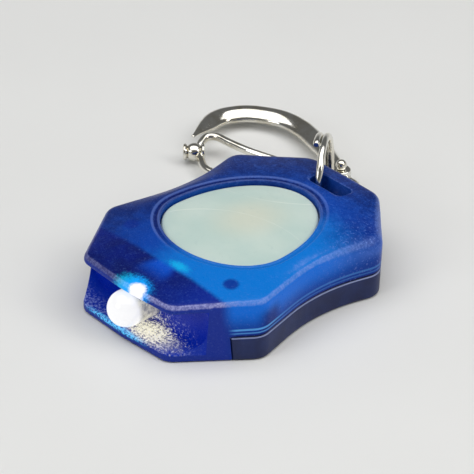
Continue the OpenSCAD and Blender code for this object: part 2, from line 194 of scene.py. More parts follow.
class Material:
    """A Principled material painted in millimetres of the piece's own CAD coordinates."""

    def __init__(self, name, **constants):
        self.material = bpy.data.materials.new(name)
        self.material.use_nodes = True
        self.tree = self.material.node_tree
        self.shader = self.tree.nodes["Principled BSDF"]
        coordinates = self.tree.nodes.new("ShaderNodeTexCoord")
        scale = self.tree.nodes.new("ShaderNodeVectorMath")
        scale.operation = "SCALE"
        scale.inputs["Scale"].default_value = 1 / MM
        self.tree.links.new(coordinates.outputs["Object"], scale.inputs[0])
        self.place = Value(self.tree, scale.outputs[0])
        split = self.tree.nodes.new("ShaderNodeSeparateXYZ")
        self.tree.links.new(self.place.socket, split.inputs[0])
        self.x, self.y, self.z = (Value(self.tree, split.outputs[i]) for i in range(3))
        for socket, value in constants.items():
            plug(self.tree, value, self.shader.inputs[socket.replace("_", " ")])

    def noise(self, scale, detail=2.0, roughness=0.5):
        """Noise from 0 to 1 with about scale bumps a millimetre."""
        node = self.tree.nodes.new("ShaderNodeTexNoise")
        node.inputs["Scale"].default_value = scale
        node.inputs["Detail"].default_value = detail
        node.inputs["Roughness"].default_value = roughness
        self.tree.links.new(self.place.socket, node.inputs["Vector"])
        return Value(self.tree, node.outputs["Fac"])

    def distance(self, point, stretch=(1, 1, 1)):
        """Distance in millimetres from a point, each axis multiplied by its stretch."""
        total = None
        for axis, centre, factor in zip((self.x, self.y, self.z), point, stretch):
            term = (axis - centre) * factor
            term = term * term
            total = term if total is None else total + term
        return total.math("SQRT")

    def mix(self, factor, first, second):
        node = self.tree.nodes.new("ShaderNodeMix")
        node.data_type = "RGBA"
        plug(self.tree, factor, node.inputs[0])
        plug(self.tree, first, node.inputs[6])
        plug(self.tree, second, node.inputs[7])
        return Value(self.tree, node.outputs[2])

    def beyond_button(self):
        """Millimetres outside the button's edge, along a ray from its middle line."""
        ahead = self.y - BUTTON_Y
        along = (ahead * (1 / REAR)).math("MAXIMUM", ahead * (-1 / FRONT))
        across = self.x * (1 / HALF_W)
        egg = (along * along + across * across).math("SQRT")
        radius = (ahead * ahead + self.x * self.x).math("SQRT")
        return radius - radius.math("DIVIDE", egg)

    def inside_mouth(self):
        """1 on the mouth's own walls, which stand inside the case's outer faces."""
        return self.x.math("ABSOLUTE").ramp(11.5, 11.42) * self.z.ramp(1.0, 1.08)

    def facing_up(self):
        """The surface normal's upward part in the piece's own frame, from -1 to 1."""
        geometry = self.tree.nodes.new("ShaderNodeTexCoord")
        split = self.tree.nodes.new("ShaderNodeSeparateXYZ")
        self.tree.links.new(geometry.outputs["Normal"], split.inputs[0])
        return Value(self.tree, split.outputs[2])

    def bump(self, height, depth):
        """Bump whose height of 0 to 1 stands for depth in millimetres."""
        node = self.tree.nodes.new("ShaderNodeBump")
        node.inputs["Strength"].default_value = 1.0
        node.inputs["Distance"].default_value = depth * MM
        plug(self.tree, height, node.inputs["Height"])
        self.set("Normal", Value(self.tree, node.outputs[0]))

    def set(self, socket, value):
        plug(self.tree, value, self.shader.inputs[socket])


# ---------------------------------------------------------------- sizes shared with the CAD

BUTTON_Y = -2.1
HALF_W, FRONT, REAR = 9.9, 7.4, 13.8
CASE_H, RIM_Z = 8.45, box_mm("upper_shell")[1][2]
BOTTOM_EDGE_R, EDGE_R, TAIL_EDGE_R = 0.4, 0.9, 1.8
JOINT_Z, JOINT_GAP = 3.4, 0.15
WALL = 1.2
FLOOR_Z, ROOF_Z = 1.2, 7.3
BAY_FRONT_Y, BAY_REAR_Y = -11.9, 13.3
NOSE_JOINT_Y = -13.4
BULKHEAD_Y = -15.4
BASE_CORNERS = [(0, -20.5, 16), (8.3, -20.1, 2.4), (16.1, -10.3, 2.6), (12.8, 2.5, 24),
                (15.5, 11.0, 2.6), (6.8, 19.8, 3.2), (0, 19.9, 20)]
CROWN_CORNERS = [(0, -20.1, 16), (8.6, -19.6, 2.4), (15.4, -9.4, 2.6), (12.7, 2.5, 24),
                 (14.8, 12.4, 2.6), (6.4, 19.6, 3.2), (0, 19.75, 20)]
LED_X = (lens_low[0] + lens_high[0]) / 2
LED_Z = (lens_low[2] + lens_high[2]) / 2
LED_HOLE_R, LED_SEAT_R, LED_SEAT_Y = 2.55, 3.0, -14.5
SCREWS = [(-9.7, -9.3), (9.7, -9.3)]
BOSS_R, PILOT_R, PILOT_TOP_Z = 1.8, 0.8, 6.8
SCREW_HEAD_R, SCREW_HEAD_DEPTH, SHANK_R = 1.65, 0.95, 0.9
SLOT_X, SLOT_HALF_W, SLOT_Y = 0.95, 3.2, (14.5, 17.2)
SLOT_RIM_Z, TOP_SLOPE = 8.86, 0.081
NOTCH_HALF_W, BAR_BOTTOM_Z = 7.2, 5.0
CELL_Y, CELL_WALL_R = 0.2, (10.2, 11.0)
LEAF_T, LEAF_ARCH, LEAF_EDGE = 0.15, 6.0, 0.04
PLUNGER_R, BUTTON_WALL = 2.4, 1.3
RING_WIRE, RING_TURNS, RING_YAW = 1.0, 1.6, math.radians(39.7)
RING_X, RING_Y = -4.55, 19.6
LOOP_WIRE, RIVET_HOLE_R, BALL_R = 1.15, 0.55, 0.8
BARREL_YAW = math.radians(46.7)
# Outside the case, for cutters that run past it
FAR_X, FAR_Y, PAST_END = 20, 30, 26


# ---------------------------------------------------------------- materials

def blue_plastic():
    """Translucent frosted blue with its light and shade painted: bright where the lit bay lies
    below it and deep over solid plastic.
    """
    m = Material("blue_plastic", IOR=1.49, Specular_IOR_Level=0.14, Emission_Strength=1.0)
    up = m.facing_up()
    cloud = m.noise(0.16, 3.0)
    grain = m.noise(3.0, 4.0, roughness=0.8)
    wander = (cloud - 0.5) * 0.9
    mottle = m.noise(0.8, 4.0, roughness=0.65) - 0.5

    # Top, painted light: the lit bay shows through, brightest on the near flank, with painted shade
    # on the far one
    glow = m.x.ramp(-15, 9) * (m.y + wander * 2).ramp(21, 2) + (cloud - 0.5) * 0.35 + mottle * 0.3
    over_bay = m.mix(glow.ramp(-0.05, 0.45), srgb(5, 32, 100), srgb(4, 62, 158))
    over_bay = m.mix(glow.ramp(0.4, 0.95), over_bay, srgb(2, 114, 206))
    # Painted shade over the solid plastic at the tail corner
    tail_corner_shade = (m.distance((14.5, 11, 0), (0.15, 0.12, 0)) + mottle * 0.4).ramp(1.25, 0.2)
    over_bay = m.mix(tail_corner_shade * 0.6, over_bay, srgb(7, 26, 112))
    # Painted shade in the channel round the button, deepest on the far side
    beyond = m.beyond_button()
    far_side = (m.x - m.y * 0.5).ramp(6, -4)
    over_bay = m.mix(beyond.ramp(1.25, 0.9) * (far_side * 0.7 + 0.15), over_bay, srgb(4, 22, 92))
    lips = beyond.band(1.28, 0.06, 0.22) + beyond.band(0.4, 0.04, 0.16)

    # Nose top: tone that varies at random, with painted light on the near side
    nose = m.mix(cloud.ramp(0.35, 0.7), srgb(4, 18, 88), srgb(4, 28, 122))
    nose = m.mix(m.x.ramp(2, 11) * 0.8, nose, srgb(7, 40, 148))
    # Painted light of the LED's beam seen through the nose top
    beam_edge = (m.x - LED_X - 1.0).math("ABSOLUTE") + (m.y + 13.4) * 0.35 - wander * 1.6
    beam_cone = beam_edge.ramp(2.4, 0.4) * m.y.ramp(-17.6, -13.9)
    nose = m.mix(beam_cone * 0.8, nose, srgb(5, 84, 205))
    flecks = grain.ramp(0.56, 0.66)
    front = (m.y + wander * 0.5 + (grain - 0.5) * 0.4).ramp(-14.1, -13.1)
    top = m.mix(front, nose, over_bay)
    # Painted shade where the screw bosses below keep the light out
    for x, strength in ((10.15, 0.85), (-9.25, 0.5)):
        boss = (m.distance((x, -10.5, 0), (1, 1, 0)) + (grain - 0.5) * 0.5).ramp(1.35, 0.7)
        top = m.mix(boss * strength, top, srgb(3, 34, 134))
    # Painted light: a bright streak of the LED's light in the top
    led_light_streak = (m.distance((2.7, -12.7, 0), (0.48, 1.05, 0)) + (grain - 0.5) * 2.0).ramp(1.15, 0.2)
    top = m.mix(led_light_streak * 0.85, top, srgb(10, 176, 232))

    # Outside walls, painted light and shade: bright under the top edge, then down through a thin
    # painted line of light to deep blue
    side = m.mix(m.z.ramp(3.6, 7.2), srgb(8, 50, 146), srgb(10, 112, 226))
    # Painted shade over the front screw boss, towards the tail and on the far side
    side = m.mix((m.y + wander).band(-8.2, 0.5, 2.2) * m.z.ramp(7.6, 5.6) * 0.75, side,
                 srgb(6, 26, 108))
    side = m.mix((m.y + wander).ramp(3, 11) * 0.8, side, srgb(15, 50, 138))
    side = m.mix(m.x.ramp(2, -6) * 0.7, side, srgb(6, 34, 116))
    side = m.mix(m.y.ramp(-12.6, -14.4), side, srgb(26, 50, 150))
    behind_nose = m.y.ramp(-13.7, -12.6)
    # Painted highlights: two thin lines of light above the joint
    line = (m.z.band(4.4, 0.05, 0.16) + m.z.band(3.92, 0.03, 0.12) * 0.7) * behind_nose
    side = m.mix(line * ((m.y + wander).ramp(-4, -10) * 0.5 + 0.3) * (m.x.ramp(-8, 4) * 0.7 + 0.3),
                 side, srgb(96, 178, 250))
    # Painted shade along the bottom edge above the joint
    side = m.mix(m.z.ramp(3.72, 3.55) * behind_nose * 0.85, side, srgb(2, 14, 66))
    outer = m.mix(up.ramp(0.15, 0.75), side, top)

    # Inside the mouth, painted light and shade: deep saturated blue behind, and a pale speckled
    # haze of light towards the front
    inner = m.mix(m.y.ramp(-15.2, -16.6), srgb(2, 30, 150), srgb(14, 42, 140))
    haze_speckle = (grain + cloud * 0.2).ramp(0.57, 0.7)
    front_light_haze = haze_speckle * m.y.ramp(-16.2, -19.3) * (m.x.ramp(2, -9) * 0.55 + 0.3)
    inner = m.mix(front_light_haze, inner, srgb(158, 170, 216))
    in_mouth = m.z.ramp(7.34, 7.22) * m.y.ramp(-15.3, -15.38) * m.inside_mouth()
    colour = m.mix(in_mouth, outer, inner)
    # Painted shade on the bottom face, which rests on the floor
    colour = m.mix(m.z.ramp(0.1, 0.0), colour, srgb(8, 24, 104))

    # Frosted flecks, and painted highlights along the upper edges
    edge_highlight = up.ramp(0.1, 0.6) * up.ramp(0.985, 0.8) + (m.noise(0.9, 3.0) - 0.5) * 0.9
    near_side = m.x.ramp(-2, 8)
    tail_end = (m.y + wander * 2).ramp(1, 11) * near_side
    edge_highlight = edge_highlight.ramp(0.2, 1.1) * m.z.ramp(7.2, 7.9) * (near_side * 0.42 + 0.2)
    edge_highlight = edge_highlight * (grain.ramp(0.4, 0.62) * 0.9 + 0.55)
    nose_rim = m.y.ramp(-11.5, -14.5)
    colour = m.mix(edge_highlight * (tail_end * -0.6 + nose_rim * 0.35 + 1.0), colour,
                   m.mix(nose_rim, srgb(112, 146, 226), srgb(150, 152, 204)))
    # Towards the tail the painted highlight spreads from the edge down over the wall
    spread_highlight = m.z.band(7.2, 0.3, 1.7) * up.ramp(0.8, 0.2) * (cloud * 0.7 + mottle * 0.8 + 0.1)
    colour = m.mix(spread_highlight * tail_end * 0.8, colour, srgb(86, 124, 214))
    # Painted highlights on the two lips round the button, on the far side
    colour = m.mix(lips * far_side * up.ramp(0.5, 0.8) * 0.4, colour, srgb(104, 132, 206))
    # More pale flecks near the tail corner
    tail_flecks = (m.distance((14, 11.5, 8), (0.14, 0.11, 0.14)) - wander).ramp(1.2, 0.2)
    colour = m.mix(flecks * (tail_flecks * 0.36 + 0.12), colour, srgb(128, 152, 222))
    frost = (grain + mottle * 0.5).ramp(0.44, 0.64) * ((m.y + wander * 2).ramp(-2, 12) * 0.7 + 0.3)
    colour = m.mix(frost * m.z.ramp(4.8, 7) * 0.15, colour, srgb(62, 116, 220))
    m.set("Base Color", colour)

    m.set("Roughness", m.noise(9.0, 2.0) * 0.2 + 0.2)
    m.bump(grain * 0.6 + m.noise(14.0, 2.0) * 0.4, 0.02)

    # Light from the LED caught in the visor, the mouth's floor and its front edge
    spark = m.noise(2.9, 3.0, roughness=0.85)
    jitter = (spark - 0.5) * 3.2
    visor = m.z.ramp(6.6, 7.4)
    halo = (m.distance((1.4, -19.9, 0), (0.34, 0.44, 0)) - jitter * 0.4).ramp(1.3, 0.6) * visor
    wall_light = m.mix(cloud.ramp(0.3, 0.7), srgb(0, 10, 66), srgb(0, 20, 96))
    lit_walls = m.mix(in_mouth, (0, 0, 0), wall_light)
    light = m.mix(halo, lit_walls, m.mix(m.x.ramp(-1.6, 1.2), srgb(0, 158, 176), srgb(0, 162, 236)))
    hot = (m.distance((2.35, -19.6, 0), (0.8, 1.0, 0)) - jitter * 0.25).ramp(1.3, 0.75) * visor
    light = m.mix(hot, light, (1.0, 0.98, 0.94))

    beam = m.distance((2.6, -18.0, 1.0), (0.27, 0.36, 0.36))
    pool = (beam - jitter * 0.55).ramp(1.15, 0.45) * in_mouth
    pool_colour = m.mix((spark - beam * 0.12).ramp(0.32, 0.5), srgb(126, 122, 104),
                        srgb(250, 244, 206))
    light = m.mix(pool, light, pool_colour)
    trail = (m.distance((5.4, -18.3, 1.0), (0.27, 0.42, 0.36)) - jitter * 0.8).ramp(1.1, 0.4)
    light = m.mix(trail * in_mouth * 0.5, light, pool_colour)
    scatter = m.distance((4.5, -17.2, 1.0), (0.16, 0.3, 0.28)).ramp(1.2, 0.3)
    scatter = scatter * spark.ramp(0.56, 0.64) * in_mouth
    light = m.mix(scatter * 0.7, light, srgb(176, 182, 208))
    edge = m.z.band(1.05, 0.12, 0.3) * m.y.ramp(-19.4, -20.1) * m.x.band(-1.5, 3.0, 4.0)
    light = m.mix(edge * spark.ramp(0.38, 0.6), light, srgb(90, 200, 240))
    m.set("Emission Color", light)
    return m.material


def navy_plastic():
    m = Material("navy_plastic", IOR=1.49, Specular_IOR_Level=0.35)
    cloud = m.noise(0.3, 3.0)
    grain = m.noise(6.0, 4.0, roughness=0.75)
    colour = m.mix(cloud.ramp(0.3, 0.75), srgb(18, 30, 74), srgb(28, 44, 96))
    # Painted highlight: a thin pale line along the top edge
    colour = m.mix(m.z.ramp(3.06, 3.16) * m.z.ramp(3.245, 3.23) * 0.9, colour, srgb(150, 162, 206))
    colour = m.mix(grain.ramp(0.6, 0.7) * 0.2, colour, srgb(110, 124, 170))
    m.set("Base Color", colour)
    m.set("Roughness", cloud * 0.15 + 0.33)
    m.bump(grain, 0.012)
    return m.material


def button_plastic():
    m = Material("button_plastic", IOR=1.47, Subsurface_Weight=0.25, Subsurface_Scale=0.0015,
                 Subsurface_Radius=(1.0, 0.9, 0.8), Specular_IOR_Level=0.4)
    cloud = m.noise(0.14, 3.0)
    mottle = m.noise(0.9, 4.0, roughness=0.65)
    colour = m.mix(cloud.ramp(0.3, 0.7), srgb(184, 205, 198), srgb(196, 212, 204))
    # Painted light: lighter and warmer in the middle of the dome
    middle = m.distance((0, 2.0, 0), (0.16, 0.13, 0)).ramp(1.0, 0.1)
    colour = m.mix(middle * 0.6, colour, srgb(212, 210, 190))
    colour = m.mix(mottle.ramp(0.55, 0.8) * 0.3, colour, srgb(160, 184, 182))
    # Two faint flow lines left by moulding
    for centre, radius in (((6.0, -14.0), 17.6), ((-9.0, 19.0), 14.2)):
        line = m.distance(centre + (0,), (1, 1, 0)).band(radius, 0.03, 0.14)
        colour = m.mix(line * cloud.ramp(0.3, 0.6) * 0.6, colour, srgb(224, 230, 222))
    m.set("Base Color", colour)
    m.set("Roughness", mottle * 0.16 + 0.42)
    m.bump(m.noise(6.0, 3.0), 0.006)
    return m.material


def nickel_plate():
    m = Material("nickel_plate", Metallic=1.0)
    tarnish = m.noise(0.5, 4.0, roughness=0.6)
    colour = m.mix(tarnish.ramp(0.35, 0.75), srgb(232, 230, 222), srgb(212, 206, 190))
    pits = m.noise(6.0, 2.0)
    colour = m.mix(pits.ramp(0.68, 0.8) * 0.5, colour, srgb(120, 112, 98))
    m.set("Base Color", colour)
    m.set("Roughness", m.noise(2.0, 3.0) * 0.1 + 0.07)
    m.bump(m.noise(1.6, 3.0) * 0.7 + m.noise(14.0, 1.0) * 0.3, 0.006)
    return m.material


def lens_epoxy():
    """Clear epoxy that the lit die fills with light, brightest in the dome."""
    m = Material("lens_epoxy", IOR=1.5, Roughness=0.12, Coat_Weight=0.5, Coat_Roughness=0.05,
                 Emission_Strength=1.0)
    mottle = m.noise(1.5, 4.0, roughness=0.7)
    dome = (m.y + (mottle - 0.5) * 0.8).ramp(-18.6, -19.7)
    body = m.mix(mottle.ramp(0.3, 0.7), srgb(150, 150, 146), srgb(206, 202, 186))
    rim = m.mix(m.y.ramp(-14.9, -14.3), body, srgb(110, 140, 190))
    m.set("Base Color", m.mix(dome, rim, (0.2, 0.2, 0.2)))
    glow = m.mix(mottle.ramp(0.35, 0.7), srgb(96, 96, 94), srgb(170, 166, 148))
    glow = m.mix(m.y.ramp(-17.4, -15.4), glow, srgb(24, 34, 58))
    m.set("Emission Color", m.mix(dome, glow, srgb(232, 232, 234)))
    m.bump(mottle, 0.02)
    return m.material


def plated_metal(name, light, dark, roughness):
    """Metal with patches of tarnish and a fine grain of darker specks."""
    m = Material(name, Metallic=1.0)
    patches = m.noise(0.48, 3.0)
    grain = m.noise(9.6, 3.0)
    colour = m.mix(patches.ramp(0.3, 0.75), light, dark)
    m.set("Base Color", m.mix(grain.ramp(0.6, 0.8) * 0.3, colour, dark))
    m.set("Roughness", grain * 0.2 + roughness)
    m.bump(grain, 0.004)
    return m.material


def moulded(name, light, dark, roughness):
    m = Material(name, IOR=1.5)
    grain = m.noise(4.0, 3.0)
    m.set("Base Color", m.mix(m.noise(0.6, 3.0).ramp(0.3, 0.7), light, dark))
    m.set("Roughness", grain * 0.2 + roughness)
    m.bump(grain, 0.006)
    return m.material


def floor_surface():
    m = Material("floor_surface", IOR=1.45)
    m.set("Base Color", m.mix(m.noise(0.02, 3.0), srgb(222, 222, 220), srgb(230, 230, 228)))
    m.set("Roughness", m.noise(0.5, 2.0) * 0.1 + 0.5)
    return m.material


# ---------------------------------------------------------------- shape helpers

def unit(a, b):
    length = math.hypot(b[0] - a[0], b[1] - a[1])
    return ((b[0] - a[0]) / length, (b[1] - a[1]) / length)


def corner_arc(a, b, c, inset, steps=10):
    """The arc that rounds corner b, moved inwards by inset. The third entry of b is its radius."""
    u, v = unit(b, a), unit(b, c)
    half = math.acos(max(-1, min(1, u[0] * v[0] + u[1] * v[1]))) / 2
    bisector = unit((0, 0), (u[0] + v[0], u[1] + v[1]))
    middle = [b[i] + bisector[i] * b[2] / math.sin(half) for i in (0, 1)]
    p, q = ([b[i] + w[i] * b[2] / math.tan(half) - middle[i] for i in (0, 1)] for w in (u, v))
    start = math.atan2(p[1], p[0])
    sweep = (math.atan2(q[1], q[0]) - start + 1.5 * TURN) % TURN - TURN / 2
    side = (b[0] - a[0]) * (c[1] - b[1]) - (b[1] - a[1]) * (c[0] - b[0])
    radius = b[2] - math.copysign(inset, side)
    return [(middle[0] + radius * math.cos(start + sweep * i / steps),
             middle[1] + radius * math.sin(start + sweep * i / steps)) for i in range(steps + 1)]


def outline(level, inset=0.0):
    """The case outline at level 0 (base) to 1 (crown), moved inwards by inset."""
    half = [tuple(p + (q - p) * level for p, q in zip(a, b))
            for a, b in zip(BASE_CORNERS, CROWN_CORNERS)]
    corners = half + [(-x, y, r) for x, y, r in half[-2:0:-1]]
    count = len(corners)
    return [point for k in range(count)
            for point in corner_arc(corners[k - 1], corners[k], corners[(k + 1) % count], inset)]


def ray_hit(polygon, angle):
    """Where a ray from the button's middle line leaves a polygon."""
    dx, dy = math.cos(angle), math.sin(angle)
    best = 0.0
    for (x1, y1), (x2, y2) in zip(polygon, polygon[1:] + polygon[:1]):
        ex, ey = x2 - x1, y2 - y1
        determinant = dx * ey - dy * ex
        if abs(determinant) < 1e-12:
            continue
        ry = y1 - BUTTON_Y
        along = (x1 * ey - ry * ex) / determinant
        part = (x1 * dy - ry * dx) / determinant
        if -1e-9 <= part <= 1 + 1e-9:
            best = max(best, along)
    return (best * dx, BUTTON_Y + best * dy)


ANGLES = [TURN * k / 300 for k in range(300)]


def outline_ring(level, inset, z):
    polygon = outline(level, inset)
    return [ray_hit(polygon, angle) + (z,) for angle in ANGLES]


def egg_ring(grow, z, scale=1.0):
    """The button's egg outline grown by a margin, at the same angles as the case's rings."""
    ring = []
    for angle in ANGLES:
        a, b = HALF_W + grow, (REAR if math.sin(angle) > 0 else FRONT) + grow
        radius = scale / math.hypot(math.cos(angle) / a, math.sin(angle) / b)
        ring.append((radius * math.cos(angle), BUTTON_Y + radius * math.sin(angle), z))
    return ring


def blend_rings(first, second, t, z):
    return [(p[0] + (q[0] - p[0]) * t, p[1] + (q[1] - p[1]) * t, z) for p, q in zip(first, second)]


def new_object(name, verts, faces, material=None):
    """A mesh object in millimetres with its faces turned outwards."""
    mesh = bpy.data.meshes.new(name)
    mesh.from_pydata(verts, [], faces)
    work = bmesh.new()
    work.from_mesh(mesh)
    bmesh.ops.remove_doubles(work, verts=work.verts, dist=1e-6)
    bmesh.ops.recalc_face_normals(work, faces=work.faces)
    work.to_mesh(mesh)
    work.free()
    if material:
        mesh.materials.append(material)
    return link(name, mesh)


def loft(name, rings, material=None, closed=False):
    """A solid through rings of equal length, with flat ends unless it closes on itself."""
    count = len(rings[0])
    verts = [p for ring in rings for p in ring]
    last = len(rings) - (0 if closed else 1)
    faces = []
    for k in range(last):
        a, b = k * count, (k + 1) % len(rings) * count
        faces += [(a + i, a + (i + 1) % count, b + (i + 1) % count, b + i) for i in range(count)]
    if not closed:
        faces.append(tuple(range(count))[::-1])
        faces.append(tuple(range((len(rings) - 1) * count, len(rings) * count)))
    return new_object(name, verts, faces, material)


def prism(name, polygon, low, high):
    return loft(name, [[(x, y, low) for x, y in polygon], [(x, y, high) for x, y in polygon]])


def block(name, low, high):
    return prism(name, [(low[0], low[1]), (high[0], low[1]), (high[0], high[1]), (low[0], high[1])],
                 low[2], high[2])


def circle(x, y, radius, count=48):
    return [(x + radius * math.cos(TURN * k / count), y + radius * math.sin(TURN * k / count))
            for k in range(count)]


def lathe(name, profile, origin, axis, material=None, count=48, hollow=False):
    """Turns a profile of (distance along axis, radius) pairs about an axis.

    A hollow profile is a closed loop that doesn't reach the axis."""
    axis = Vector(axis).normalized()
    side = axis.orthogonal().normalized()
    other = axis.cross(side)
    rings = []
    for along, radius in profile:
        centre = Vector(origin) + axis * along
        rings.append([tuple(centre + (side * math.cos(TURN * k / count)
                                      + other * math.sin(TURN * k / count)) * max(radius, 0.01))
                      for k in range(count)])
    return loft(name, rings, material, closed=hollow)


def rounded_rectangle(x, y, half_w, half_h, radius, steps=6):
    points = []
    for quarter, (sx, sy) in enumerate([(1, 1), (-1, 1), (-1, -1), (1, -1)]):
        for i in range(steps + 1):
            a = (quarter + i / steps) * TURN / 4
            points.append((x + sx * (half_w - radius) + radius * math.cos(a),
                           y + sy * (half_h - radius) + radius * math.sin(a)))
    return points


def bake_modifiers(obj):
    graph = bpy.context.evaluated_depsgraph_get()
    mesh = bpy.data.meshes.new_from_object(obj.evaluated_get(graph))
    obj.modifiers.clear()
    obj.data = mesh


def combine(obj, others, operation="DIFFERENCE"):
    """Cuts or joins other solids and removes them."""
    for other in others:
        modifier = obj.modifiers.new("combine", "BOOLEAN")
        modifier.operation = operation
        modifier.solver = "EXACT"
        modifier.object = other
    bake_modifiers(obj)
    for other in others:
        bpy.data.objects.remove(other)
    return obj


def soften(obj, width, angle=38, segments=2):
    """Rounds the sharp edges.

    Triangles come first, because a bevel spoils large faces with notches in them, and the
    slivers that the cuts leave are merged."""
    work = bmesh.new()
    work.from_mesh(obj.data)
    bmesh.ops.triangulate(work, faces=work.faces)
    bmesh.ops.remove_doubles(work, verts=work.verts, dist=0.03)
    bmesh.ops.dissolve_degenerate(work, edges=work.edges, dist=0.01)
    work.to_mesh(obj.data)
    work.free()
    modifier = obj.modifiers.new("soften", "BEVEL")
    modifier.width = width
    modifier.segments = segments
    modifier.limit_method = "ANGLE"
    modifier.angle_limit = math.radians(angle)
    modifier.use_clamp_overlap = False
    modifier.miter_outer = "MITER_ARC"
    bake_modifiers(obj)


def finish_piece(obj, body, nodes=(), smooth=35):
    """Scales a piece to metres, smooths it, hangs it on its body's empty and hides any CAD nodes it
    replaces.
    """
    obj.data.transform(TO_METRES)
    obj.data.polygons.foreach_set("use_smooth", [True] * len(obj.data.polygons))
    obj.data.set_sharp_from_angle(angle=math.radians(smooth))
    flatten = obj.modifiers.new("flat_faces", "WEIGHTED_NORMAL")
    flatten.keep_sharp = True
    bake_modifiers(obj)
    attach(obj, body)
    if nodes:
        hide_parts(*nodes)
    return obj


# ---------------------------------------------------------------- case

def clipped(polygon, low_y, high_y):
    """A polygon cut off at two lines across Y."""
    for limit, keep in ((low_y, 1), (high_y, -1)):
        result = []
        for p, q in zip(polygon, polygon[1:] + polygon[:1]):
            inside_p, inside_q = (p[1] - limit) * keep >= 0, (q[1] - limit) * keep >= 0
            if inside_p:
                result.append(p)
            if inside_p != inside_q:
                t = (limit - p[1]) / (q[1] - p[1])
                result.append((p[0] + (q[0] - p[0]) * t, limit))
        polygon = result
    return polygon


def bay_cutter(low, high):
    """The battery bay with the two screw bosses left standing in it."""
    bay = prism("bay", clipped(outline(0.5, WALL), BAY_FRONT_Y, BAY_REAR_Y), low, high)
    return combine(bay, [prism("boss", circle(x, y, BOSS_R), low - 1, high + 1)
                         for x, y in SCREWS])


def side_rings(top):
    """Rings of the outer wall from the rounded bottom edge up to a height."""
    rings = []
    for step in range(5):
        a = TURN / 4 * step / 4
        rings.append(outline_ring(0, BOTTOM_EDGE_R * (1 - math.sin(a)),
                                  BOTTOM_EDGE_R * (1 - math.cos(a))))
    z, spacing = 1.2, 0.8
    while z < top - 0.3:
        rings.append(outline_ring(z / CASE_H, 0, z))
        z += spacing
    return rings


def mouth_profile():
    """The mouth's section across X and Z: wide rounded lower corners and tight upper ones."""
    half, low, high, low_r, high_r = 11.4, 1.1, 7.3, 3.0, 0.6
    points = []
    for cx, cz, r, start in ((half - high_r, high - high_r, high_r, 0),
                             (high_r - half, high - high_r, high_r, 1),
                             (low_r - half, low + low_r, low_r, 2),
                             (half - low_r, low + low_r, low_r, 3)):
        for i in range(13):
            a = (start + i / 12) * TURN / 4
            points.append((cx + r * math.cos(a), cz + r * math.sin(a)))
    return points


def slot_cutter():
    """The key ring's slot, flared where it meets the sloping top so that its rim is rounded."""
    corner_r, rim_r = 0.9, 0.2

    def ring(grow, height):
        points = rounded_rectangle(SLOT_X, sum(SLOT_Y) / 2, SLOT_HALF_W + grow,
                                   (SLOT_Y[1] - SLOT_Y[0]) / 2 + grow, corner_r + grow)
        return [(x, y, SLOT_RIM_Z - TOP_SLOPE * (y - SLOT_Y[0]) + height) for x, y in points]

    rings = [ring(0.12, -4.9), ring(0.12, -3.9), ring(0.0, -3.7)]
    for degrees in (0, 18, 36, 54, 72):
        a = math.radians(degrees)
        rings.append(ring(rim_r * (1 - math.cos(a)), rim_r * math.sin(a) - rim_r))
    return loft("key_slot", rings + [ring(0.32, 0.1), ring(0.32, 1.5)])


def smooth(t):
    """0 below 0, 1 above 1, and an even rise between."""
    t = min(1.0, max(0.0, t))
    return t * t * (3 - 2 * t)


def crown_ring(a):
    """One ring of the rounded upper edge, softer at the tail corners, most of all on +X."""
    sharp, soft = [
        outline_ring(1 - r * (1 - math.sin(a)) / CASE_H, r * (1 - math.cos(a)),
                     CASE_H - r * (1 - math.sin(a))) for r in (EDGE_R, TAIL_EDGE_R)]
    ring = []
    for p, q in zip(sharp, soft):
        behind_waist, beside_slot = smooth((p[1] - 1) / 9), smooth((abs(p[0]) - 6.5) / 5)
        weight = behind_waist * beside_slot
        weight *= 1.0 if p[0] > 0 else 0.3
        ring.append(tuple(u + (v - u) * weight for u, v in zip(p, q)))
    return ring


def upper_shell(material):
    rings = side_rings(CASE_H - TAIL_EDGE_R)
    edge_angles = [math.radians(13 * step) for step in range(7)]
    rings += [crown_ring(a) for a in edge_angles]
    shoulder, land = rings[-1], egg_ring(1.3, RIM_Z)
    start = CASE_H - EDGE_R * (1 - math.sin(edge_angles[-1]))
    for s in (0.08, 0.18, 0.3, 0.42, 0.54, 0.66, 0.78, 0.88, 0.95):
        z = start + (RIM_Z - 0.02 - start) * math.sin(TURN / 4 * s)
        rings.append(blend_rings(shoulder, land, s, z))
    # A shallow channel between two lips runs round the button
    for grow, drop in ((1.3, 0.0), (1.18, 0.02), (1.08, 0.08), (0.98, 0.13), (0.8, 0.15),
                       (0.62, 0.13), (0.5, 0.06), (0.4, 0.01), (0.32, 0.0), (0.22, 0.04),
                       (0.16, 0.12), (0.15, 0.3), (0.15, 2.2)):
        rings.append(egg_ring(grow, RIM_Z - drop))
    shell = loft("upper_case", rings, material)

    # With the cuts in this order the finished shell is a closed mesh
    mouth = loft("mouth", [[(x, y, z) for x, z in mouth_profile()]
                           for y in (BULKHEAD_Y, -PAST_END)])
    cutters = [
        mouth,
        block("notch", (-NOTCH_HALF_W, SLOT_Y[0], JOINT_Z - 1),
              (NOTCH_HALF_W, PAST_END, BAR_BOTTOM_Z)),
        lathe("led_hole", [(0, LED_HOLE_R), (5, LED_HOLE_R)], (LED_X, BULKHEAD_Y - 1, LED_Z),
              (0, 1, 0)),
        lathe("led_seat", [(0, LED_SEAT_R), (5, LED_SEAT_R)], (LED_X, LED_SEAT_Y, LED_Z),
              (0, 1, 0)),
    ]
    cutters += [prism("pilot", circle(x, y, PILOT_R, 24), JOINT_Z - 1, PILOT_TOP_Z)
                for x, y in SCREWS]
    cutters += [block("below", (-FAR_X, NOSE_JOINT_Y, -1), (FAR_X, FAR_Y, JOINT_Z)),
                bay_cutter(JOINT_Z - 1, ROOF_Z)]
    combine(shell, cutters)
    soften(shell, 0.11)
    combine(shell, [slot_cutter()])
    return finish_piece(shell, "case", ("upper_shell",))


